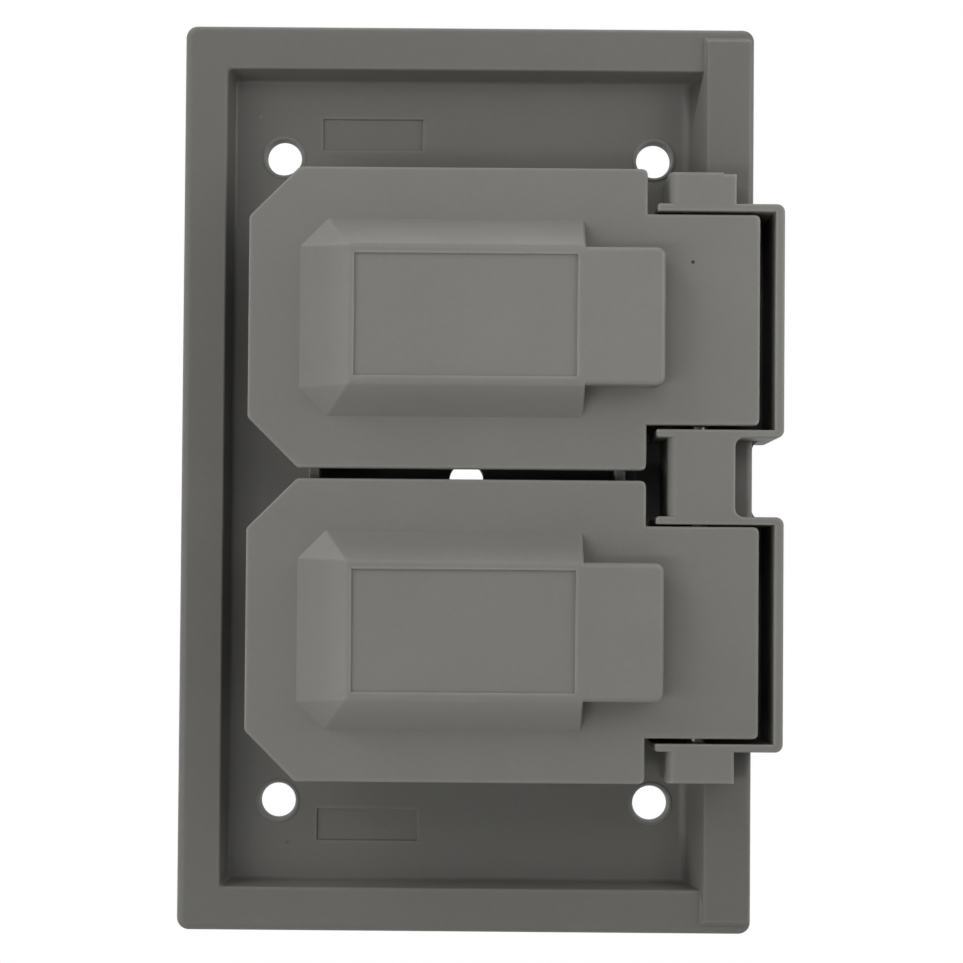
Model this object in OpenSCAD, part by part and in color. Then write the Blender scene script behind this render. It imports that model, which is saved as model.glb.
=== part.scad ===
// Weather-protective wall cover for a two-outlet receptacle, with two self-closing flip lids.
// The wall is the plane y = 0 and the cover stands out from it towards -Y, with +Z up.
// The origin is on the axis of the centre screw hole, at the wall.
// Most shapes are drawn lying down, as (across, up, height above the wall), then stood up.

/* [Plate] */
// Width of the plate across its rim
plate_w = 73; // [72.5:0.1:74]
// Height of the plate from bottom to top
plate_h = 115.7; // [115:0.1:117]
// Radius of the plate's four corners, seen from the front
plate_corner_r = 1.5; // [1.3:0.1:2]
// Height of the rim's face above the wall
rim_height = 8.9; // [8.5:0.1:9.2]
// Height of the recessed floor's face above the wall
floor_height = 4.4; // [4:0.1:4.8]
// Thickness of the recessed floor
floor_skin = 2.8; // [2.4:0.1:3]
// Thickness of the rim's outer wall and of its face
rim_skin = 1.8; // [1.5:0.1:2]
// Radius of the rim's outer edge
rim_edge_r = 1; // [0.8:0.05:1.1]
// How far the recess walls lean in between the rim and the floor
recess_draft = 0.7; // [0.3:0.1:1]
// The same for the recess wall beside the raised strip
strip_side_draft = 1.6; // [1:0.1:1.8]
// Height of the raised strip on the hinge side above the rim
strip_raise = 0.6; // [0.3:0.1:1]

/* [Outlets and screws] */
// Distance between the centres of the two outlet openings
outlet_pitch = 38.9; // [38.9:0.1:39]
// Diameter of an outlet opening across its round sides
outlet_d = 34.4; // [34:0.1:34.6]
// Height of an outlet opening across its flats
outlet_flats = 28.6; // [28.2:0.1:28.8]
// Distance between the box screws, across
screw_pitch_x = 48; // [47.8:0.1:48.2]
// Distance between the box screws, up and down
screw_pitch_z = 83.34; // [83.2:0.01:83.5]
// Radius of the four box screw holes and of the centre screw hole
screw_hole_r = 2.2; // [2:0.05:2.3]
// Height of the seal walls' top edge above the wall
seal_wall_height = 12.45; // [12:0.05:12.5]

/* [Hinge] */
// Distance of the hinge axis from the middle of the plate
pin_x = 29.3; // [29.2:0.05:29.4]
// Height of the hinge axis above the wall
pin_height = 11.2; // [11.2:0.05:11.3]
// Radius of a hinge pin
pin_r = 1.2; // [1.1:0.05:1.3]
// Radial gap of a pin in the plate's lugs
pin_fit = 0.02; // [0.01:0.01:0.03]
// Radial gap of a pin in a lid's knuckles
knuckle_fit = 0.07; // [0.05:0.01:0.1]
// Height of the shrouds and lugs above the wall
shroud_height = 15.5; // [15.4:0.1:15.6]
// Wire diameter of a return spring
wire_d = 0.7; // [0.6:0.05:0.75]
// Number of whole turns in a return spring
spring_turns = 7; // [5:1:9]

/* [Lids] */
// Height of a lid's flange face above the wall
flange_height = 15.5; // [15.4:0.1:15.6]
// Wall thickness of a lid
lid_skin = 1.75; // [1.6:0.05:1.75]
// Height of a lid's flange, from bottom to top
flange_h = 37.9; // [37.5:0.1:38]
// Height of the hinge leaf, from bottom to top
leaf_h = 26.5; // [26.3:0.1:26.6]
// How far the raised box stands above the flange
box_raise = 4; // [3:0.1:4]
// Depth of the sunk panel on the raised box
panel_depth = 0.3; // [0.2:0.05:0.5]
// Thickness of the foam seal in a lid
seal_t = 1.2; // [1:0.05:1.2]

/* [Hidden] */
$fn = 64;

UP = 1;
DOWN = -1;
over = 1;                            // how far a cut runs past the face it opens
hair = 0.01;                         // thickness of the slabs at a sloped shape's two ends

// Recess, in the plate's plan
recess_left = -31.05;
recess_right = 30;
recess_top = 52.3;
floor_edge = 51.5;                   // top and bottom edge of the gasket's seat
strip_left = 30.45;
strip_end = 56.4;
gasket_left = -30.2;
gasket_right = 21;
gasket_t = floor_height - floor_skin;
gasket_gap = 0.3;                    // gap all round the wall gasket
boss_r = 3.6;                        // bosses that take the screws through the gasket
lip_r = 2.75;                        // raised lip round a box screw hole
lip_raise = 0.15;
lip_sink_r = 2.4;                    // the box screw holes widen from their throat to both faces
relief_r = 2.75;
throat_low = 2.3;
throat_high = 2.75;
sink_r = 3.1;                        // countersink of the centre screw hole
sink_depth = 0.9;
label_w = 12.85;
label_h = 4;
label_x = -12.5;
label_z = 44.65;
label_depth = 0.25;

// Seal walls round the two outlets
seal_half_w = 20;
seal_half_h = 35.4;
seal_wall = 1.4;
well_half_w = seal_half_w - seal_wall;
well_half_h = outlet_flats / 2 + 0.25;
channel_half = outlet_pitch / 2 - well_half_h - seal_wall;
seal_corner_r = 2;

// Hinge housing
shroud_left = 23.65;
shroud_right = 39.65;
shroud_wall = 1.2;
shroud_in = 4.96;                    // side of a shroud nearer the middle of the plate
shroud_out = 34.37;                  // side of a shroud nearer the end of the plate
shroud_side = 1;                     // thickness of a shroud's side walls
shroud_corner_r = 1;
shroud_end_r = 0.4;                  // corners at the shrouds' open ends
shroud_edge_r = 0.3;                 // the lugs' edges and the notch's fillets have it too
pocket_left = 22;
pocket_floor = 2.2;
lug_left = 25.2;
lug_right = 33.55;
lug_end = 38.3;
lug_round = 1.2;
lug_step_x = 31.9;                   // the upper lug is a little shorter right of here
lug_step = 0.25;
notch_fillet_r = 1.1;
overlap = 0.5;                       // how far one shape runs into its neighbour
strip_edge_r = 0.8;                  // outer edge of the raised strip
strip_inset = 0.15;                  // the strip stands back from the plate's side
strip_corner_r = 1.4;
strip_slope = 0.3;                   // half of the run of the slope at the strip's ends
core_half_x = 2.6;                   // core behind the middle lug
core_half_z = 3.2;
core_top = 7.5;
pin_inner_end = 1.6;
pin_outer_end = 38;
pin_chamfer = 0.25;

// Lids
lid_z = [-19.48, 19.72];             // centres of the lower and the upper lid
flange_left = -27.6;
flange_right = 22.4;
flange_chamfer = 6.3;
leaf_right = 36.55;
box_left = -21.15;
box_right = 14.5;
box_half_h = 12.44;
box_chamfer_x = 3.5;
box_chamfer_z = 3.54;
box_top_left = -14.85;
box_top_half_h = 8.6;
tab_right = 24.42;
tab_corner_r = 1.1;
panel_left = -14.2;
panel_right = 13.45;
panel_half_h = 7.57;
knuckle_r = 2.55;
knuckle_l = 4.45;
lid_seal_half_w = 20.1;
lid_seal_half_h = 16;
flange_back = flange_height - lid_skin;
box_top = flange_height + box_raise;

// Return springs
coil_r = 2.05;
coil_pitch = wire_d * 1.15;
coil_steps = 12;                     // rings in one turn
wire_sides = 6;
fixed_leg_end = 3;                   // height at which the leg on the plate ends
moving_leg_l = 5.5;
rib_left = 25.2;
rib_right = pin_x - coil_r - wire_d / 2 - hair;
rib_top = 6.5;
rib_half_z = 4.5;

// Stands a lying shape up against the wall
module stand_up() rotate([90, 0, 0]) children();

// A block given by its two corners in (across, up, height)
module block(low, high) translate(low) cube(high - low);

// A flat rectangle with round corners, drawn with true arcs
module round_rect(w, h, r) {
    square([w - 2 * r, h], center = true);
    square([w, h - 2 * r], center = true);
    for (x = [-1, 1], y = [-1, 1])
        translate([x * (w / 2 - r), y * (h / 2 - r)]) circle(r);
}

// A profile w wide and h high, with its two top corners rounded
module soft_profile(w, h, e) {
    translate([-w / 2, 0]) square([w, h - e]);
    translate([e - w / 2, 0]) square([w - 2 * e, h]);
    for (s = [-1, 1]) translate([s * (w / 2 - e), h - e]) circle(e);
}

// A post of radius r whose top edge is rounded
module soft_post(r, h, e) rotate_extrude() intersection() {
    soft_profile(2 * r, h, e);
    square([r, h]);
}

// A block with round corners and a rounded top edge, standing on the wall round the origin
module soft_block(w, d, h, left_r, right_r, e) {
    run_up(right_r - d / 2, d / 2 - right_r) soft_profile(w, h, e);
    run_up(left_r - d / 2, d / 2 - left_r) intersection() {
        soft_profile(w, h, e);
        translate([-w / 2, 0]) square([w / 2, h]);
    }
    rotate([90, 0, 90]) translate([0, 0, left_r - w / 2])
        linear_extrude(w - left_r - right_r) soft_profile(d, h, e);
    for (s = [UP, DOWN]) {
        translate([left_r - w / 2, s * (d / 2 - left_r), 0]) soft_post(left_r, h, e);
        translate([w / 2 - right_r, s * (d / 2 - right_r), 0]) soft_post(right_r, h, e);
    }
}

// A prism standing on height h0 and ending at height h1
module prism(h0, h1) translate([0, 0, h0]) linear_extrude(h1 - h0) children();

// A shape drawn in (across, height) and run from z0 to z1
module run_up(z0, z1) translate([0, z1, 0]) rotate([90, 0, 0]) linear_extrude(z1 - z0) children();

// A rod along the hinge axis
module rod(r, z0, z1) translate([pin_x, z1, pin_height]) rotate([90, 0, 0]) cylinder(r = r, h = z1 - z0);

// The concave corner between two walls; the corner's point is the origin
module inner_fillet(r) difference() {
    square(r);
    translate([r, r]) circle(r);
}

module at_box_screws() {
    for (x = [-1, 1], z = [-1, 1])
        translate([x * screw_pitch_x / 2, z * screw_pitch_z / 2, 0]) children();
}

module outlet_shape(grow) {
    for (s = [UP, DOWN]) translate([0, s * outlet_pitch / 2]) intersection() {
        circle(outlet_d / 2 + grow, $fn = 128);
        square([outlet_d + 2 * grow, outlet_flats + 2 * grow], center = true);
    }
}

module recess_layer(lean, right_lean, h) {
    low = [recess_left + lean, -recess_top + lean, h];
    block(low, [recess_right - right_lean, recess_top - lean, h + hair]);
}

module recess_cut() hull() {
    recess_layer(recess_draft, strip_side_draft, floor_height);
    recess_layer(0, 0, rim_height);
    recess_layer(0, 0, rim_height + over);
}

module strip_profile() {
    right = plate_w / 2 - strip_inset;
    top = rim_height + strip_raise;
    polygon([
        [recess_right, rim_height - rim_skin],
        [right, rim_height - rim_skin],
        [right, top - strip_edge_r],
        [right - strip_edge_r, top],
        [strip_left, top],
        [recess_right, rim_height]
    ]);
    translate([right - strip_edge_r, top - strip_edge_r]) circle(strip_edge_r);
}

module strip() intersection() {
    run_up(-plate_h / 2, plate_h / 2) strip_profile();
    rotate([90, 0, 90]) linear_extrude(plate_w) polygon([
        [-strip_end - strip_slope, rim_height - rim_skin - over],
        [strip_end + strip_slope, rim_height - rim_skin - over],
        [strip_end + strip_slope, rim_height],
        [strip_end - strip_slope, rim_height + strip_raise],
        [strip_slope - strip_end, rim_height + strip_raise],
        [-strip_end - strip_slope, rim_height]
    ]);
    prism(0, shroud_height)
        round_rect(plate_w - 2 * strip_inset, 2 * strip_end + 2 * strip_slope, strip_corner_r);
}

// The hollow behind the rim, open towards the wall
module rim_channel() {
    in_x = recess_left - rim_skin;
    in_z = recess_top + rim_skin;
    out_x = plate_w / 2 - rim_skin;
    out_z = plate_h / 2 - rim_skin;
    hinge_z = lug_end + rim_skin;
    prism(-over, rim_height - rim_skin) {
        for (s = [UP, DOWN]) {
            translate([-out_x, min(s * in_z, s * out_z)]) square([2 * out_x, out_z - in_z]);
            translate([recess_right + rim_skin, min(s * hinge_z, s * out_z)])
                square([out_x - recess_right - rim_skin, out_z - hinge_z]);
        }
        translate([-out_x, -out_z]) square([in_x + out_x, 2 * out_z]);
    }
}

module seal_walls() prism(floor_height - hair, seal_wall_height) difference() {
    round_rect(2 * seal_half_w, 2 * seal_half_h, seal_corner_r);
    for (s = [UP, DOWN]) translate([0, s * outlet_pitch / 2])
        round_rect(2 * well_half_w, 2 * well_half_h, seal_corner_r - 1);
    square([2 * well_half_w, 2 * channel_half], center = true);
}

module lug_profile() {
    translate([lug_left, 0]) square([lug_right - lug_left, shroud_height - lug_round]);
    translate([lug_left + lug_round, 0])
        square([lug_right - shroud_edge_r - lug_left - lug_round, shroud_height]);
    translate([lug_left + lug_round, shroud_height - lug_round]) circle(lug_round);
    translate([lug_right - shroud_edge_r, 0]) square([shroud_edge_r, shroud_height - shroud_edge_r]);
    translate([lug_right - shroud_edge_r, shroud_height - shroud_edge_r]) circle(shroud_edge_r);
}

// The lug at one end of the hinge line, with its end's top edge rounded
module end_lug(s) intersection() {
    inner = shroud_out - overlap;
    run_up(min(s * inner, s * lug_end), max(s * inner, s * lug_end)) lug_profile();
    rotate([90, 0, 90]) linear_extrude(plate_w) translate([s * inner, 0])
        soft_profile(2 * (lug_end - inner), shroud_height, shroud_edge_r);
}

module shroud(s) {
    w = shroud_right - shroud_left;
    translate([shroud_left + w / 2, s * (shroud_in + shroud_out) / 2, 0])
        soft_block(w, shroud_out - shroud_in, shroud_height, shroud_end_r, shroud_corner_r, shroud_edge_r);
}

module hinge_pocket(s) {
    near = shroud_in + shroud_side;
    far = shroud_out - shroud_side;
    low = [pocket_left, min(s * near, s * far), pocket_floor];
    block(low, [shroud_right - shroud_wall, max(s * near, s * far), shroud_height + over]);
}

// The rib that a return spring's fixed leg pushes against
module spring_rib(s) {
    mid = lid_z[s > 0 ? 1 : 0];
    block([rib_left, mid - rib_half_z, pocket_floor - hair], [rib_right, mid + rib_half_z, rib_top]);
}

// The two corners of the notch between the shrouds, where their outer sides meet a wall at x
module at_notch_corners(x) for (flip = [0, 1]) mirror([0, flip]) translate([x, -shroud_in]) children();

module notch_fillet() {
    inner_fillet(notch_fillet_r);
    translate([0, -overlap]) square([notch_fillet_r, overlap]);
}

// A notch fillet as high as the lugs, whose rounded top edge carries on theirs
module lug_fillet() difference() {
    e = shroud_edge_r;
    prism(0, shroud_height) {
        notch_fillet();
        translate([-e, -overlap]) square([e, notch_fillet_r + overlap]);
    }
    translate([notch_fillet_r, notch_fillet_r]) rotate_extrude() difference() {
        translate([0, shroud_height - e]) square([notch_fillet_r + e, e + over]);
        translate([notch_fillet_r + e, shroud_height - e]) circle(e);
    }
}

module plate_body() {
    difference() {
        soft_block(plate_w, plate_h, rim_height, plate_corner_r, plate_corner_r, rim_edge_r);
        recess_cut();
        rim_channel();
    }
    strip();
    seal_walls();
    for (s = [UP, DOWN]) shroud(s);
    run_up(-shroud_in - overlap, shroud_in + overlap) lug_profile();
    for (s = [UP, DOWN]) end_lug(s);
    at_notch_corners(lug_right) lug_fillet();
    at_notch_corners(plate_w / 2) prism(0, rim_height - rim_edge_r) notch_fillet();
    at_box_screws() cylinder(r = lip_r, h = floor_height + lip_raise);
}

// A box screw hole: a throat that widens towards the front and towards the wall
module screw_bore() {
    cylinder(r = screw_hole_r, h = 2 * floor_height);
    translate([0, 0, -hair]) cylinder(r1 = relief_r, r2 = screw_hole_r, h = throat_low + hair);
    translate([0, 0, throat_high])
        cylinder(r1 = screw_hole_r, r2 = lip_sink_r, h = floor_height + lip_raise + hair - throat_high);
}

// Seat of the wall gasket, leaving the screw bosses
module gasket_seat(inset) difference() {
    translate([gasket_left + inset, -floor_edge + inset])
        square([gasket_right - gasket_left - 2 * inset, 2 * floor_edge - 2 * inset]);
    at_box_screws() circle(boss_r + inset);
    circle(boss_r + inset);
}

module cover_plate() color([0.47, 0.46, 0.44]) stand_up() {
    difference() {
        plate_body();
        prism(-over, gasket_t) gasket_seat(0);
        prism(-over, floor_height + over) outlet_shape(0);
        for (s = [UP, DOWN]) hinge_pocket(s);
        block([pocket_left, -shroud_in, pocket_floor], [lug_left, shroud_in, rim_height + over]);
        block([pin_x - core_half_x, -core_half_z, -over], [pin_x + core_half_x, core_half_z, core_top]);
        block([lug_step_x, lug_end - lug_step, rim_height + strip_raise],
              [lug_right + over, lug_end + over, shroud_height + over]);
        at_box_screws() screw_bore();
        translate([0, 0, -over]) cylinder(r = screw_hole_r, h = 2 * floor_height);
        translate([0, 0, floor_height - sink_depth])
            cylinder(r1 = screw_hole_r, r2 = sink_r, h = sink_depth);
        for (s = [UP, DOWN])
            translate([label_x, s * label_z, floor_height - label_depth]) linear_extrude(over)
                square([label_w, label_h], center = true);
        rod(pin_r + pin_fit, pin_inner_end, lug_end + over);
        rod(pin_r + pin_fit, -lug_end - over, -pin_inner_end);
    }
    for (s = [UP, DOWN]) spring_rib(s);
}

module wall_gasket() color([0.1, 0.1, 0.1]) stand_up() prism(0, gasket_t) difference() {
    gasket_seat(gasket_gap);
    outlet_shape(gasket_gap);
}

module flange_shape() {
    half = flange_h / 2;
    difference() {
        union() {
            translate([flange_left, -half]) square([flange_right - flange_left, flange_h]);
            translate([0, -leaf_h / 2]) square([leaf_right, leaf_h]);
        }
        for (s = [UP, DOWN]) translate([flange_left, s * half]) rotate(45)
            square(flange_chamfer * sqrt(2), center = true);
    }
}

// The raised box with its sloped sides; inset makes the hollow inside it
module box_shape(h0, h1, inset) hull() {
    prism(h0, h0 + hair) polygon([
        [box_left + inset, -box_half_h + box_chamfer_z + inset / 2],
        [box_left + box_chamfer_x + inset / 2, -box_half_h + inset],
        [box_right - inset, -box_half_h + inset],
        [box_right - inset, box_half_h - inset],
        [box_left + box_chamfer_x + inset / 2, box_half_h - inset],
        [box_left + inset, box_half_h - box_chamfer_z - inset / 2]
    ]);
    block([box_top_left + inset, -box_top_half_h + inset, h1 - hair],
          [box_right - inset, box_top_half_h - inset, h1]);
}

module tab_shape() {
    w = tab_right - box_right;
    translate([tab_right - w / 2, 0]) round_rect(w, 2 * box_top_half_h, tab_corner_r);
    translate([box_right - over, -box_top_half_h]) square([w / 2 + over, 2 * box_top_half_h]);
}

module knuckle(z0) {
    rod(knuckle_r, z0, z0 + knuckle_l);
    block([pin_x - knuckle_r, z0, pin_height], [pin_x + knuckle_r, z0 + knuckle_l, flange_back + hair]);
}

module lid() color([0.49, 0.48, 0.46]) difference() {
    union() {
        prism(flange_back, flange_height) flange_shape();
        box_shape(flange_height, box_top, 0);
        prism(flange_height, box_top) tab_shape();
        knuckle(leaf_h / 2 - knuckle_l);
        knuckle(-leaf_h / 2);
    }
    translate([0, 0, -hair]) box_shape(flange_back, box_top - lid_skin, lid_skin);
    block([box_right - 2 * lid_skin, -box_top_half_h + lid_skin, flange_back - over],
          [tab_right - lid_skin, box_top_half_h - lid_skin, box_top - lid_skin]);
    block([panel_left, -panel_half_h, box_top - panel_depth], [panel_right, panel_half_h, box_top + over]);
    rod(pin_r + knuckle_fit, -leaf_h, leaf_h);
}

module upper_lid() stand_up() translate([0, lid_z[1], 0]) lid();

module lower_lid() stand_up() translate([0, lid_z[0], 0]) lid();

module lid_seal(z) color([0.09, 0.09, 0.09]) stand_up() translate([0, z])
    prism(flange_back - seal_t, flange_back)
        round_rect(2 * lid_seal_half_w, 2 * lid_seal_half_h, seal_corner_r);

module upper_lid_seal() lid_seal(lid_z[1]);

module lower_lid_seal() lid_seal(lid_z[0]);

module hinge_pin(s) color([0.75, 0.75, 0.74]) stand_up()
    translate([pin_x, s * pin_inner_end, pin_height]) rotate([-90 * s, 0, 0]) {
        l = pin_outer_end - pin_inner_end;
        translate([0, 0, pin_chamfer]) cylinder(r = pin_r, h = l - 2 * pin_chamfer);
        cylinder(r1 = pin_r - pin_chamfer, r2 = pin_r, h = pin_chamfer);
        translate([0, 0, l - pin_chamfer])
            cylinder(r1 = pin_r, r2 = pin_r - pin_chamfer, h = pin_chamfer);
    }

module upper_hinge_pin() hinge_pin(UP);

module lower_hinge_pin() hinge_pin(DOWN);

// A wire along a path of [across, up, height, angle] stations about the hinge axis
module wire(path) {
    n = len(path);
    points = [for (p = path, k = [0 : wire_sides - 1])
        let (a = k * 360 / wire_sides, out = wire_d / 2 * cos(a), along = wire_d / 2 * sin(a))
        [p[0] + out * cos(p[3]), p[1] + along, p[2] + out * sin(p[3])]];
    sides = [for (i = [0 : n - 2], k = [0 : wire_sides - 1])
        let (j = (k + 1) % wire_sides, a = i * wire_sides, b = a + wire_sides)
        [a + k, b + k, b + j, a + j]];
    start_cap = [for (k = [0 : wire_sides - 1]) k];
    end_cap = [for (k = [wire_sides - 1 : -1 : 0]) (n - 1) * wire_sides + k];
    polyhedron(points, concat([start_cap], sides, [end_cap]), convexity = 10);
}

// A close-wound coil with one leg down to the plate's rib and one under the lid's leaf
module return_spring(z) color([0.7, 0.7, 0.69]) stand_up() {
    sweep = 90 + 360 * spring_turns;
    length = coil_pitch * sweep / 360;
    z0 = z - length / 2;
    steps = round(coil_steps * sweep / 360);
    coil = [for (i = [0 : steps])
        let (a = 180 - sweep * i / steps)
        [pin_x + coil_r * cos(a), z0 + length * i / steps, pin_height + coil_r * sin(a), a]];
    fixed_leg = [pin_x - coil_r, z0, fixed_leg_end, 180];
    moving_leg = [pin_x + moving_leg_l, z0 + length, pin_height + coil_r, 90];
    wire(concat([fixed_leg], coil, [moving_leg]));
}

module upper_return_spring() return_spring(lid_z[1]);

module lower_return_spring() return_spring(lid_z[0]);

cover_plate();
wall_gasket();
upper_lid();
lower_lid();
upper_lid_seal();
lower_lid_seal();
upper_hinge_pin();
lower_hinge_pin();
upper_return_spring();
lower_return_spring();
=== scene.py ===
"""Looks for the weather-protective receptacle cover: moulded plate, two flip lids, foam seals, pins and springs.

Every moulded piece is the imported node's own shape with its edges rounded as the moulding's are. Lengths in the
tables below are in millimetres, as (x across, h out from the wall, z up), and MM turns them into metres.
"""

import math

import bmesh
import bpy
import numpy as np
from mathutils import Matrix, Vector


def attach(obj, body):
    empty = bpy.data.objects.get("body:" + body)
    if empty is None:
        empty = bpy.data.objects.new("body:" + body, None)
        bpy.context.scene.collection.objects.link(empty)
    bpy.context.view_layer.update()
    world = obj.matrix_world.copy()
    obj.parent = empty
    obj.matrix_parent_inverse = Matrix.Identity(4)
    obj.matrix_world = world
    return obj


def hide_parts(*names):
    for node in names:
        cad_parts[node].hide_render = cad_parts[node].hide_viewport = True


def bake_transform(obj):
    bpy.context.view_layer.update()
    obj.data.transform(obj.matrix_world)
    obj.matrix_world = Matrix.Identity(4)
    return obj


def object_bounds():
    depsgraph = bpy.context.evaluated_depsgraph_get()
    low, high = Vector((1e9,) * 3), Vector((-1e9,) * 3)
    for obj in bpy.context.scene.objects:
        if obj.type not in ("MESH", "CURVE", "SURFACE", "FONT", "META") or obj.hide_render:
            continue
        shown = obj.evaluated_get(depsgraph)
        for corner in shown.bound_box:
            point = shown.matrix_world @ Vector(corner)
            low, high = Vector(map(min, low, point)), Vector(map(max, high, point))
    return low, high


MM = 0.001
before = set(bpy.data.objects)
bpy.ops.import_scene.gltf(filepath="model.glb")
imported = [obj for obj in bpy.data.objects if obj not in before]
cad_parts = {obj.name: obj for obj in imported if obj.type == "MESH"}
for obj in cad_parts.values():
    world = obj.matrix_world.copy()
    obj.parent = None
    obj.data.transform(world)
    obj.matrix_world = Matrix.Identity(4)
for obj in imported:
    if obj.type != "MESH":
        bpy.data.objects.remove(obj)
cad_low, cad_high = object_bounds()

# ---------------------------------------------------------------- dimensions that the looks need
RIM_H, STRIP_H, FLOOR_H = 8.9, 9.5, 4.4    # the plate's faces: rim, strip beside the hinges, recess
STRIP_Z = 56.4
BACK_H = 1.7                               # the plate's edges nearer the wall than this are its back's
PLATE_X, PLATE_Z = 36.5, 57.85
RECESS = (-31.05, 30.0, 52.3)              # its left, right and top
LUG_X = (25.2, 33.55)
LUG_Z = 38.3
HINGE_FLOOR_X = 21.0
SHROUD_Z = (4.96, 34.37)
OUTLET_Z = 19.45
SCREW_Z = 41.67
LABEL_Z = 44.65
FLANGE_H, BOX_H = 15.5, 19.5               # a lid's faces: flange, raised box
LID_Z = {"upper": 19.72, "lower": -19.48}
TAB_X = (14.5, 24.42)
PIN_X, PIN_H = 29.3, 11.2
COIL_R = 2.05
WIRE_D = 0.7
SPRING_TURNS = 7.25
SPRING_PITCH = 1.15 * WIRE_D
FIXED_LEG_END_H = 3.0
MOVING_LEG = 5.5

# ---------------------------------------------------------------- how edges are rounded
CORNER = 18                   # an edge that turns more than this many degrees is a corner of the moulding
PLATE_CORNER = 40             # the same for the plate, whose outer edges are already round in facets
FLAT = math.radians(0.5)      # faces that turn less than this are one flat face
ROOM = 0.45                   # share of the room beside an edge that its rounding may take
WIDEST = 1.3                  # the widest rounding, which a bevel weight of 1 stands for
LEAST = 0.02                  # a rounding narrower than this is left sharp
ROUND_STEPS = 3
SPAN = (0.04, 0.96)           # the part of an edge's length along which its room is measured
STOPS = (3, 24)               # the fewest and most places, which are otherwise a millimetre apart
PLATE_ROUND = {"back": 0.15, "face": 0.25, "other": 0.2, "recess corner": 0.9, "foot": 0.4, "foot by strip": 1.3}
LID_ROUND = {
    "foot": 0.5, "tab": 0.7, "box": 0.4, "slope": 0.5, "tab corner": 0.3,
    "left corner": 0.3, "right corner": 0.8, "flange": 0.28, "other": 0.15,
}
FOAM_ROUND = 0.3
PIN_ROUND = 0.12


# ---------------------------------------------------------------- node helpers
def new_material(name):
    """A material, its node tree and its shader."""
    mat = bpy.data.materials.new(name)
    mat.use_nodes = True
    tree = mat.node_tree
    shader = tree.nodes["Principled BSDF"]
    return mat, tree, shader


def noise(tree, where, scale, detail=2.0, roughness=0.5):
    """Soft noise from 0 to 1, with about scale patches to a metre."""
    node = tree.nodes.new("ShaderNodeTexNoise")
    node.inputs["Scale"].default_value = scale
    node.inputs["Detail"].default_value = detail
    node.inputs["Roughness"].default_value = roughness
    tree.links.new(where, node.inputs["Vector"])
    return node.outputs["Fac"]


def remap(tree, value, low, high, start=0.3, end=0.7):
    """Goes from low to high as value goes from start to end, and stays there past the ends."""
    node = tree.nodes.new("ShaderNodeMapRange")
    node.inputs["From Min"].default_value = start
    node.inputs["From Max"].default_value = end
    node.inputs["To Min"].default_value = low
    node.inputs["To Max"].default_value = high
    tree.links.new(value, node.inputs["Value"])
    return node.outputs["Result"]


def tinted(tree, colour, factor):
    """A fixed colour times a varying brightness."""
    node = tree.nodes.new("ShaderNodeMix")
    node.data_type = "RGBA"
    node.blend_type = "MULTIPLY"
    node.inputs["Factor"].default_value = 1.0
    node.inputs["A"].default_value = (*colour, 1.0)
    tree.links.new(factor, node.inputs["B"])
    return node.outputs["Result"]


def bump(tree, height, distance, strength, after=None):
    """The normal of a surface raised by height times distance, in metres, on top of the normal after."""
    node = tree.nodes.new("ShaderNodeBump")
    node.inputs["Strength"].default_value = strength
    node.inputs["Distance"].default_value = distance
    tree.links.new(height, node.inputs["Height"])
    if after is not None:
        tree.links.new(after, node.inputs["Normal"])
    return node.outputs["Normal"]


def math_node(tree, operation, a, b):
    """One operation on two values, each a number or a socket."""
    node = tree.nodes.new("ShaderNodeMath")
    node.operation = operation
    for socket, value in zip(node.inputs, (a, b)):
        if isinstance(value, (int, float)):
            socket.default_value = value
        else:
            tree.links.new(value, socket)
    return node.outputs["Value"]


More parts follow.
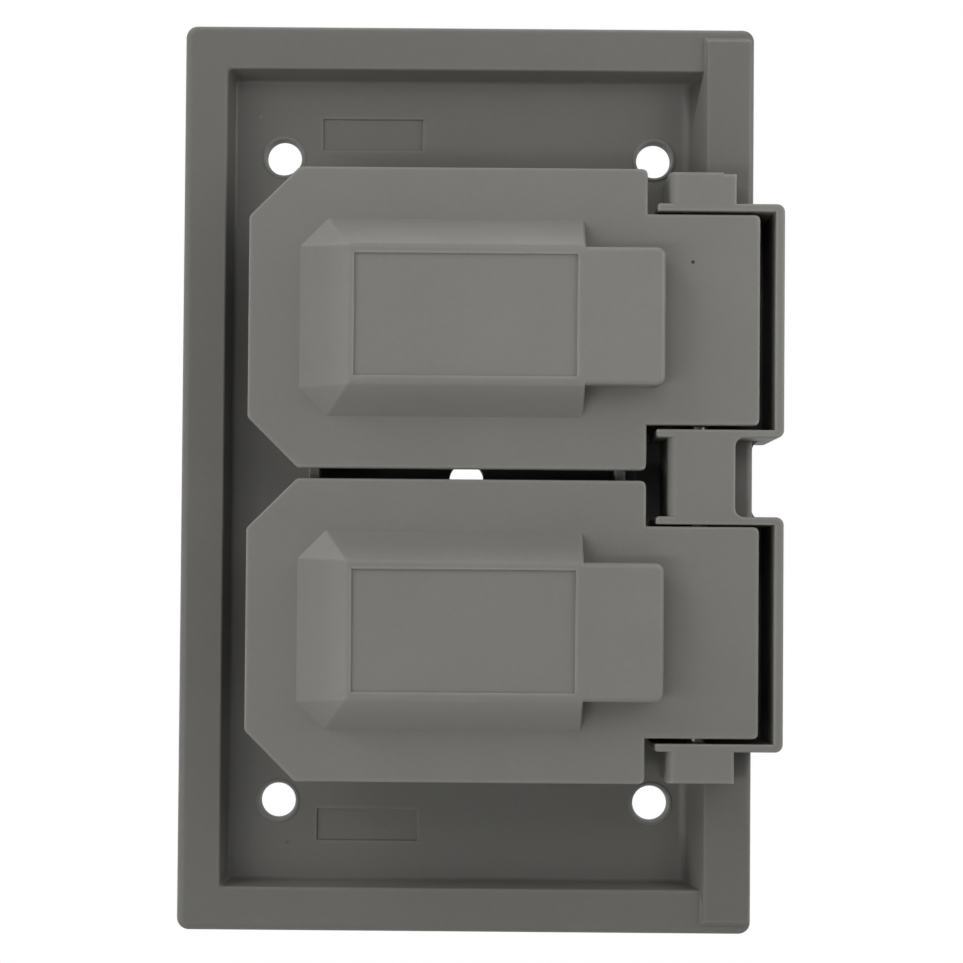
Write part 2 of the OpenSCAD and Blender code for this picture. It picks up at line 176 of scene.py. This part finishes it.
# ---------------------------------------------------------------- materials
def moulded_plastic(name, colour, roughness, specks=()):
    """Grey thermoplastic with a fine spark-eroded grain, faint flow clouds and slightly uneven gloss.

    specks are (x, h, z, radius, brightness). PAINTED_LIGHT_BY_HEIGHT is painted shade and light by height, lower
    surfaces darker and raised ones paler; EDGE_HIGHLIGHT is a painted highlight, how much brighter a convex edge is,
    over a width of EDGE_REACH.
    """
    mat, tree, shader = new_material(name)
    where = tree.nodes.new("ShaderNodeTexCoord").outputs["Object"]
    clouds = remap(tree, noise(tree, where, scale=45, detail=3.0), 0.965, 1.03)
    grain = noise(tree, where, scale=3800, roughness=0.6)
    pepper = remap(tree, noise(tree, where, scale=1400, detail=1.0), 0.985, 1.012, start=0.35, end=0.65)
    tone = math_node(tree, "MULTIPLY", clouds, pepper)
    place = tree.nodes.new("ShaderNodeSeparateXYZ")
    tree.links.new(where, place.inputs["Vector"])
    # painted shade and light by height: surfaces near the wall darker, the raised box tops paler
    for low, high, dim, bright in PAINTED_LIGHT_BY_HEIGHT:
        painted_light = remap(tree, place.outputs["Y"], dim, bright, start=-low * MM, end=-high * MM)
        tone = math_node(tree, "MULTIPLY", tone, painted_light)
    # painted highlight: convex edges brighter, found from the occlusion inside the plastic
    edges = tree.nodes.new("ShaderNodeAmbientOcclusion")
    edges.inside = True
    edges.only_local = True
    edges.samples = EDGE_RAYS
    edges.inputs["Distance"].default_value = EDGE_REACH * MM
    painted_light = remap(tree, edges.outputs["AO"], EDGE_HIGHLIGHT, 1.0, start=AT_EDGE, end=AWAY_FROM_EDGE)
    tone = math_node(tree, "MULTIPLY", tone, painted_light)
    for x, h, z, r, share in specks:
        spot = tree.nodes.new("ShaderNodeVectorMath")
        spot.operation = "DISTANCE"
        tree.links.new(where, spot.inputs[0])
        spot.inputs[1].default_value = (x * MM, -h * MM, z * MM)
        speck = remap(tree, spot.outputs["Value"], share, 1.0, start=SPECK_CORE * r * MM, end=r * MM)
        tone = math_node(tree, "MULTIPLY", tone, speck)
    tree.links.new(tinted(tree, colour, tone), shader.inputs["Base Color"])
    gloss = remap(tree, noise(tree, where, scale=160, detail=3.0), roughness - 0.04, roughness + 0.05)
    tree.links.new(gloss, shader.inputs["Roughness"])
    swell = bump(tree, noise(tree, where, scale=70, detail=1.0), distance=0.06 * MM, strength=0.35)
    skin = bump(tree, grain, distance=0.012 * MM, strength=0.5, after=swell)
    tree.links.new(skin, shader.inputs["Normal"])
    shader.inputs["IOR"].default_value = PLASTIC_IOR
    return mat


def closed_cell_foam(name, colour):
    """Black foam rubber: skinned cells a fraction of a millimetre across."""
    mat, tree, shader = new_material(name)
    where = tree.nodes.new("ShaderNodeTexCoord").outputs["Object"]
    cells = tree.nodes.new("ShaderNodeTexVoronoi")
    cells.inputs["Scale"].default_value = 2600
    tree.links.new(where, cells.inputs["Vector"])
    pores = remap(tree, cells.outputs["Distance"], 1.25, 0.8, start=0.0, end=0.7)
    patches = remap(tree, noise(tree, where, scale=220, detail=3.0), 0.85, 1.2)
    tree.links.new(tinted(tree, colour, math_node(tree, "MULTIPLY", pores, patches)), shader.inputs["Base Color"])
    tree.links.new(remap(tree, noise(tree, where, scale=500), 0.8, 0.95), shader.inputs["Roughness"])
    skin = bump(tree, cells.outputs["Distance"], distance=0.12 * MM, strength=0.6)
    tree.links.new(skin, shader.inputs["Normal"])
    shader.inputs["Specular IOR Level"].default_value = 0.3
    return mat


def drawn_steel(name, colour):
    """Stainless wire and rod, with fine drawing lines and faint stains."""
    mat, tree, shader = new_material(name)
    where = tree.nodes.new("ShaderNodeTexCoord").outputs["Object"]
    stretch = tree.nodes.new("ShaderNodeMapping")
    stretch.inputs["Scale"].default_value = (9000, 9000, 500)
    tree.links.new(where, stretch.inputs["Vector"])
    lines = noise(tree, stretch.outputs["Vector"], scale=1.0)
    stains = remap(tree, noise(tree, where, scale=350, detail=3.0), 0.85, 1.04)
    tree.links.new(tinted(tree, colour, stains), shader.inputs["Base Color"])
    tree.links.new(remap(tree, lines, 0.22, 0.38), shader.inputs["Roughness"])
    tree.links.new(bump(tree, lines, distance=0.004 * MM, strength=0.4), shader.inputs["Normal"])
    shader.inputs["Metallic"].default_value = 1.0
    return mat


GREY = (0.178, 0.1745, 0.1605)
BLACK = (0.016, 0.016, 0.015)
STEEL = (0.62, 0.61, 0.59)
PLASTIC_IOR = 1.5
SPECK_CORE = 0.6                        # share of a speck's radius that has its full strength
# A painted highlight along convex edges:
EDGE_REACH = 0.5
EDGE_HIGHLIGHT = 1.4
EDGE_RAYS = 8
AT_EDGE, AWAY_FROM_EDGE = 0.55, 0.97    # what the occlusion inside the plastic reads there
# Painted shade and light by height. Each row is a low height, a high height, and the brightness at each.
PAINTED_LIGHT_BY_HEIGHT = ((STRIP_H + 0.3, FLANGE_H - 2, 0.73, 1.0), (BOX_H - 2, BOX_H - 0.5, 1.0, 1.09))
plate_plastic = moulded_plastic(
    "plate_plastic", GREY, 0.50,
    [(-27.07, FLOOR_H, 46.88, 0.3, 1.25), (-22.78, FLOOR_H, -47.01, 0.3, 0.7)],
)
upper_plastic = moulded_plastic("upper_lid_plastic", GREY, 0.47, [(28.1, FLANGE_H, 26.96, 0.28, 0.08)])
lower_plastic = moulded_plastic("lower_lid_plastic", GREY, 0.47)
foam = closed_cell_foam("seal_foam", BLACK)
steel = drawn_steel("spring_steel", STEEL)


# ---------------------------------------------------------------- rounded mouldings
def welded(node, cuts):
    """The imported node's mesh with its corners joined and its flat faces made whole.

    cuts are ("z", height) and ("h", distance from the wall) planes through its holes, so that no face has a hole.
    """
    bm = bmesh.new()
    bm.from_mesh(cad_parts[node].data)
    bmesh.ops.remove_doubles(bm, verts=bm.verts, dist=1e-6)
    bm.normal_update()
    for axis, at in cuts:
        point, normal = ((0, 0, at * MM), (0, 0, 1)) if axis == "z" else ((0, -at * MM, 0), (0, -1, 0))
        parts = bm.verts[:] + bm.edges[:] + bm.faces[:]
        made = bmesh.ops.bisect_plane(bm, geom=parts, dist=1e-6, plane_co=point, plane_no=normal)
        for cut in made["geom_cut"]:
            if isinstance(cut, bmesh.types.BMEdge):
                cut.seam = True
    bmesh.ops.dissolve_limit(bm, angle_limit=FLAT, verts=bm.verts, edges=bm.edges, delimit={"SEAM"})
    bm.normal_update()
    return bm


def flat_groups(bm):
    """A number for each face, the same for faces that make one flat face."""
    group = {}
    for seed in bm.faces:
        if seed in group:
            continue
        number = len(group)
        group[seed], queue = number, [seed]
        while queue:
            for edge in queue.pop().edges:
                if len(edge.link_faces) == 2 and edge.calc_face_angle(0) < FLAT:
                    for face in edge.link_faces:
                        if face not in group:
                            group[face] = number
                            queue.append(face)
    return group


def rooms(bm, corner):
    """For each edge that turns more than corner degrees, how far it is across the flat faces beside it, in metres."""
    group = flat_groups(bm)
    outline = {}
    for edge in bm.edges:
        for face in edge.link_faces:
            others = [f for f in edge.link_faces if f is not face]
            if not others or group[others[0]] != group[face]:
                outline.setdefault(group[face], []).append((edge, face))
    room = {}
    for members in outline.values():
        normal = members[0][1].normal
        side = normal.orthogonal().normalized()
        plane = np.array([side, normal.cross(side)])
        ends = np.array([[v.co for v in edge.verts] for edge, _ in members]) @ plane.T
        start, run = ends[:, 0], ends[:, 1] - ends[:, 0]
        for k, (edge, face) in enumerate(members):
            if edge.calc_face_angle(0) < math.radians(corner):
                continue
            loop = next(l for l in edge.link_loops if l.face is face)
            ahead = loop.link_loop_next.vert.co - loop.vert.co
            inward = plane @ np.array(normal.cross(ahead).normalized())
            stops = max(STOPS[0], min(STOPS[1], int(ahead.length / MM)))
            reach = room.get(edge, 1.0)
            for at in np.linspace(*SPAN, stops):
                p = start[k] + run[k] * at
                cross = inward[0] * run[:, 1] - inward[1] * run[:, 0]
                with np.errstate(divide="ignore", invalid="ignore"):
                    gap = start - p
                    t = (gap[:, 0] * run[:, 1] - gap[:, 1] * run[:, 0]) / cross
                    s = (gap[:, 0] * inward[1] - gap[:, 1] * inward[0]) / cross
                hit = (t > 1e-7) & (s >= 0) & (s <= 1) & (np.abs(cross) > 1e-12)
                if hit.any():
                    reach = min(reach, float(t[hit].min()))
            room[edge] = reach
    return room


def rounded(node, name, radius, material, body, cuts=(), corner=CORNER):
    """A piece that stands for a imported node, with its corner edges rounded.

    radius(x, h, z, along, convex) gives an edge's rounding in mm, from its middle and the axis that it runs along.
    """
    bm = welded(node, cuts)
    weight = bm.edges.layers.float.new("bevel_weight_edge")
    for edge, room in rooms(bm, corner).items():
        a, b = (v.co for v in edge.verts)
        middle, along = (a + b) / 2 / MM, (b - a).normalized()
        axis = "xhz"[max(range(3), key=lambda k: abs(along[k]))]
        asked = radius(middle.x, -middle.y, middle.z, axis, edge.is_convex)
        given = min(asked, ROOM * room / MM)
        if given >= LEAST:
            edge[weight] = given / WIDEST
        else:
            edge.smooth = False
    for face in bm.faces:
        face.smooth = True
    mesh = bpy.data.meshes.new(name)
    bm.to_mesh(mesh)
    bm.free()
    mesh.materials.append(material)
    piece = bpy.data.objects.new(name, mesh)
    bpy.context.scene.collection.objects.link(piece)
    bevel = piece.modifiers.new("rounding", "BEVEL")
    bevel.limit_method = "WEIGHT"
    bevel.width = WIDEST * MM
    bevel.segments = ROUND_STEPS
    bevel.use_clamp_overlap = False
    normals = piece.modifiers.new("flat_faces", "WEIGHTED_NORMAL")
    normals.keep_sharp = True
    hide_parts(node)
    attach(piece, body)
    return piece


def near(value, target, within=0.12):
    return abs(value - target) < within


def plate_radius(x, h, z, along, convex):
    """Edge roundings of the cover plate. Edges where roundings would run into each other stay sharp.

    Here and in lid_radius, an edge is known by its middle. The bare numbers are distances in mm from the face named
    beside them.
    """
    width = PLATE_ROUND
    left, right, top = RECESS
    if h < BACK_H:
        return width["back"] if abs(x) > PLATE_X - 0.5 or abs(z) > PLATE_Z - 0.5 else 0.0
    on_strip_end = abs(z) > STRIP_Z - 0.5 and x > right - 0.1
    on_lug_end = abs(z) > SHROUD_Z[1] and h > RIM_H and LUG_X[0] - 0.2 < x < LUG_X[1] + 1.3
    beside_recess = near(x, right) and along == "z" and h > FLOOR_H + 1
    in_hinge_floor = near(h, FLOOR_H, 0.3) and x > HINGE_FLOOR_X and abs(z) < LUG_Z
    in_notch = x > LUG_X[1] - 0.2 and abs(z) < SHROUD_Z[0] + 0.5
    if on_strip_end or on_lug_end or beside_recess or in_hinge_floor or in_notch:
        return 0.0
    if convex:
        return width["face"] if near(h, STRIP_H) or near(h, RIM_H) else width["other"]
    if along == "h" and x < left + 1 and abs(z) > top - 1:
        return width["recess corner"]
    if not near(h, FLOOR_H, 0.1):
        return 0.0
    return width["foot by strip"] if x > right - 2.2 and abs(z) > LUG_Z else width["foot"]


def lid_radius(x, h, z, along, convex):
    """Edge roundings of a lid."""
    width = LID_ROUND
    if not convex:
        return width["foot"] if near(h, FLANGE_H) and x < TAB_X[0] - 0.5 else 0.0
    if near(h, BOX_H):
        return width["tab"] if x > TAB_X[0] - 0.1 else width["box"]
    if h > FLANGE_H + 0.2:
        return width["tab corner"] if along == "h" and x > TAB_X[1] - 2 else width["slope"]
    if along == "h" and h > FLANGE_H - 1.8:
        return width["left corner"] if x < 0 else width["right corner"]
    return width["flange"] if near(h, FLANGE_H) else width["other"]


def foam_radius(x, h, z, along, convex):
    """The same rounding on every edge of a foam part."""
    return FOAM_ROUND


def pin_radius(x, h, z, along, convex):
    """The same rounding on both ends of a pin."""
    return PIN_ROUND


HOLE_ROWS = [("z", s * z) for s in (-1, 1) for z in (OUTLET_Z, SCREW_Z)] + [("z", 0.0)]
LABEL_ROWS = [("z", s * LABEL_Z) for s in (-1, 1)]
rounded(
    "cover_plate", "moulded_plate", plate_radius, plate_plastic, "housing",
    HOLE_ROWS + LABEL_ROWS + [("h", PIN_H)], PLATE_CORNER,
)
for place, plastic in (("upper", upper_plastic), ("lower", lower_plastic)):
    rounded(
        f"{place}_lid", f"{place}_flip_lid", lid_radius, plastic, f"{place}_flap",
        [("z", LID_Z[place]), ("h", PIN_H)],
    )
rounded("wall_gasket", "foam_wall_gasket", foam_radius, foam, "housing", HOLE_ROWS)
for place in ("upper", "lower"):
    rounded(f"{place}_lid_seal", f"{place}_foam_seal", foam_radius, foam, f"{place}_flap")
    rounded(f"{place}_hinge_pin", f"{place}_steel_pin", pin_radius, steel, "housing")


# ---------------------------------------------------------------- return springs
TURN_STEPS = 28
FIXED_LEG_STEPS = 8
MOVING_LEG_STEPS = 6
WIRE_SIDES = 12
WIRE_DOME = [(0.999, 0.3), (0.7, 0.75), (0.3, 0.96)]  # how far out and how wide, as shares of the wire's radius


def spring_path(centre):
    """Points along the wire's middle: up the fixed leg, round the coil, out along the moving leg."""
    sweep = 2 * math.pi * SPRING_TURNS
    length = SPRING_PITCH * SPRING_TURNS
    low = centre - length / 2
    leg = PIN_H - FIXED_LEG_END_H
    steps = int(SPRING_TURNS * TURN_STEPS)
    points = [(PIN_X - COIL_R, FIXED_LEG_END_H + leg * k / FIXED_LEG_STEPS, low) for k in range(FIXED_LEG_STEPS)]
    for k in range(steps + 1):
        turn = math.pi - sweep * k / steps
        rise = low + length * k / steps
        points.append((PIN_X + COIL_R * math.cos(turn), PIN_H + COIL_R * math.sin(turn), rise))
    for k in range(1, MOVING_LEG_STEPS + 1):
        points.append((PIN_X + MOVING_LEG * k / MOVING_LEG_STEPS, PIN_H + COIL_R, low + length))
    return [Vector((x, -h, z)) * MM for x, h, z in points]


def wire(name, path, across, material):
    """A round wire with domed ends along a path."""
    first, last = (path[0] - path[1]).normalized(), (path[-1] - path[-2]).normalized()
    rings = [(path[0] + first * across * out, wide) for out, wide in WIRE_DOME]
    rings += [(point, 1.0) for point in path]
    rings += [(path[-1] + last * across * out, wide) for out, wide in reversed(WIRE_DOME)]
    angles = [2 * math.pi * k / WIRE_SIDES for k in range(WIRE_SIDES)]
    bm = bmesh.new()
    side = Vector((0, 0, 1))
    loops = []
    for k, (point, wide) in enumerate(rings):
        ahead = rings[min(k + 1, len(rings) - 1)][0] - rings[max(k - 1, 0)][0]
        ahead.normalize()
        side = (side - ahead * side.dot(ahead)).normalized()
        other = ahead.cross(side)
        ring = [point + (side * math.cos(t) + other * math.sin(t)) * across * wide for t in angles]
        loops.append([bm.verts.new(corner) for corner in ring])
    for one, two in zip(loops, loops[1:]):
        for j in range(WIRE_SIDES):
            after = (j + 1) % WIRE_SIDES
            bm.faces.new((one[j], one[after], two[after], two[j]))
    bm.faces.new(reversed(loops[0]))
    bm.faces.new(loops[-1])
    bmesh.ops.recalc_face_normals(bm, faces=bm.faces)
    for face in bm.faces:
        face.smooth = True
    mesh = bpy.data.meshes.new(name)
    bm.to_mesh(mesh)
    bm.free()
    mesh.materials.append(material)
    piece = bpy.data.objects.new(name, mesh)
    bpy.context.scene.collection.objects.link(piece)
    return piece


for place, centre in LID_Z.items():
    spring = wire(f"{place}_torsion_spring", spring_path(centre), WIRE_D / 2 * MM, steel)
    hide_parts(f"{place}_return_spring")
    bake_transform(spring)


# ---------------------------------------------------------------- camera, light and floor
DISTANCE = 340.0              # from the point looked at, in mm
LOOK_AT = (-3.46, 0.0, -6.2)
YAW, PITCH, ROLL = (math.radians(a) for a in (0.156, 1.600, -0.467))
LENS = 97.0
SENSOR = 36.0
SHIFT = (0.0436, 0.0481)
CLIP = (0.01, 20.0)           # the nearest and farthest that it sees, in metres

aim = Matrix.Rotation(YAW, 3, "Z") @ Matrix.Rotation(PITCH, 3, "X") @ Matrix.Rotation(ROLL, 3, "Y")
right, ahead, up = (aim.col[k] for k in range(3))
stand = Vector(LOOK_AT) - ahead * DISTANCE
camera_data = bpy.data.cameras.new("camera")
camera_data.lens = LENS
camera_data.sensor_width = SENSOR
camera_data.shift_x, camera_data.shift_y = SHIFT
camera_data.clip_start, camera_data.clip_end = CLIP
camera = bpy.data.objects.new("camera", camera_data)
axes = Matrix((right, up, -ahead)).transposed().to_4x4()
camera.matrix_world = Matrix.Translation(stand * MM) @ axes
bpy.context.scene.collection.objects.link(camera)
bpy.context.scene.camera = camera
bpy.context.scene.view_settings.view_transform = "Standard"


def softbox(name, tilt, turn, distance, size, power):
    """A square area light aimed at the middle of the cover.

    tilt is its angle from straight in front, and turn is the way it tilts: 0 right, 90 up, 180 left, 270 down.
    """
    t, p = math.radians(tilt), math.radians(turn)
    back = Vector((math.sin(t) * math.cos(p), -math.cos(t), math.sin(t) * math.sin(p)))
    data = bpy.data.lights.new(name, "AREA")
    data.size = size
    data.energy = power
    lamp = bpy.data.objects.new(name, data)
    lamp.location = back * distance
    lamp.rotation_mode = "QUATERNION"
    lamp.rotation_quaternion = back.to_track_quat("Z", "Y")
    lamp.visible_camera = False
    bpy.context.scene.collection.objects.link(lamp)


FAR, WIDE = 0.8, 0.5          # distance and size of the large lamps, in metres
SMALL = 0.12                  # size of the lamps close to the cover
for lamp in (                 # name, tilt, turn, distance, size, power in watts
    ("front_low_left", 40, 225, FAR, WIDE, 5.1),
    ("low_left", 55, 205, FAR, WIDE, 2.25),
    ("high_left", 70, 135, FAR, WIDE, 3.0),
    ("high_right", 70, 45, FAR, WIDE, 0.8),
    ("near_front", 31, 90, 0.256, SMALL, 0.09),
    ("near_right", 62, 18, 0.215, SMALL, 0.16),
    ("edge_top", 100, 90, FAR, WIDE, 1.9),
    ("edge_left", 105, 180, FAR, WIDE, 1.0),
    ("edge_right", 105, 0, FAR, WIDE, 0.75),
):
    softbox(*lamp)

AMBIENT = 0.085               # brightness of the studio round the cover
BEHIND = 0.9                  # and of the white paper behind it
world = bpy.data.worlds.new("studio")
bpy.context.scene.world = world
world.use_nodes = True
tree = world.node_tree
sky = tree.nodes["Background"]
sky.inputs["Color"].default_value = (1, 1, 1, 1)
way = tree.nodes.new("ShaderNodeSeparateXYZ")
tree.links.new(tree.nodes.new("ShaderNodeTexCoord").outputs["Generated"], way.inputs["Vector"])
glow = remap(tree, way.outputs["Y"], AMBIENT, BEHIND, start=0.2, end=0.8)
ray = tree.nodes.new("ShaderNodeLightPath")
tree.links.new(math_node(tree, "MAXIMUM", glow, ray.outputs["Is Camera Ray"]), sky.inputs["Strength"])

FLOOR_DROP = 0.15             # from the cover's lowest point down to the floor, in metres
FLOOR_HALF = 0.6
FLOOR_CELLS = 24
PAPER = (0.82, 0.82, 0.81)
bm = bmesh.new()
bmesh.ops.create_grid(bm, x_segments=FLOOR_CELLS, y_segments=FLOOR_CELLS, size=FLOOR_HALF)
mesh = bpy.data.meshes.new("floor")
bm.to_mesh(mesh)
bm.free()
floor = bpy.data.objects.new("floor", mesh)
floor.location.z = cad_low.z - FLOOR_DROP
bpy.context.scene.collection.objects.link(floor)
paper, paper_tree, paper_shader = new_material("pale_floor")
paper_at = paper_tree.nodes.new("ShaderNodeTexCoord").outputs["Object"]
mottle = remap(paper_tree, noise(paper_tree, paper_at, scale=6, detail=3.0), 0.98, 1.02)
paper_tree.links.new(tinted(paper_tree, PAPER, mottle), paper_shader.inputs["Base Color"])
paper_shader.inputs["Roughness"].default_value = 0.85
mesh.materials.append(paper)
